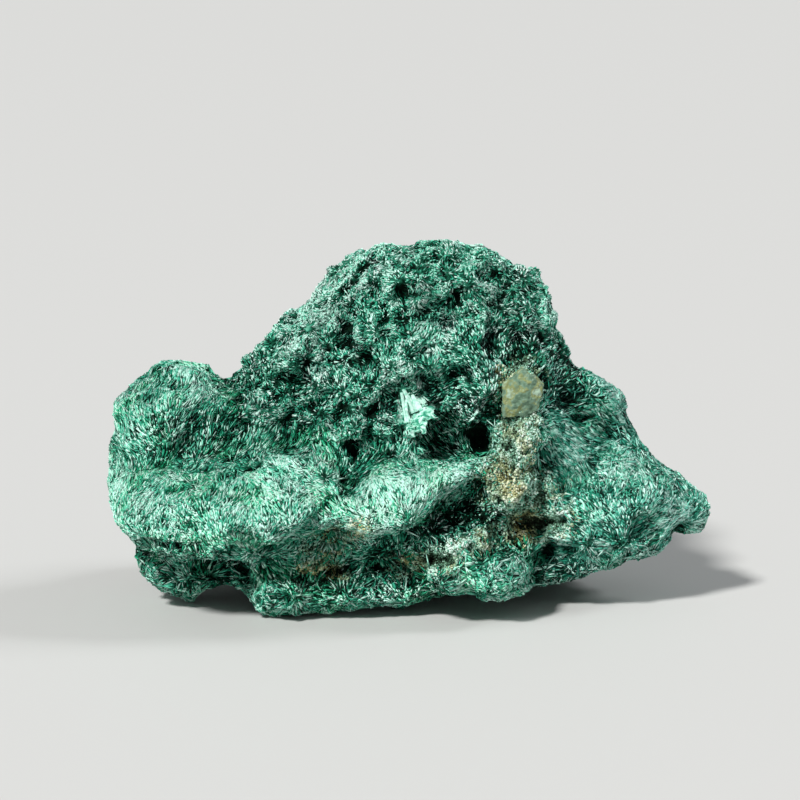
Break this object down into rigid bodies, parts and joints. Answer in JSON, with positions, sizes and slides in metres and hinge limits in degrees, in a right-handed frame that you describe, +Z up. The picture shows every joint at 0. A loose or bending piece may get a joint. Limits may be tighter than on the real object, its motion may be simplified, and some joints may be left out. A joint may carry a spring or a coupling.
{
  "type": "malachite specimen",
  "caption": "Hand-sized specimen of fibrous green malachite with a tan vein of its matrix, resting free on its own underside.",
  "frame": {"origin": "on the surface the stone rests on, under the middle of its bounding box", "axes": "+Z up, X along the stone's long way with the pointed wing at +X, and the side with the tan vein faces -Y"},
  "size_m": [0.0988, 0.0516, 0.0598],
  "materials": {
    "malachite": "silky fibrous"
  },
  "bodies": {
    "root": {"malachite": "malachite"}
  },
  "joints": []
}
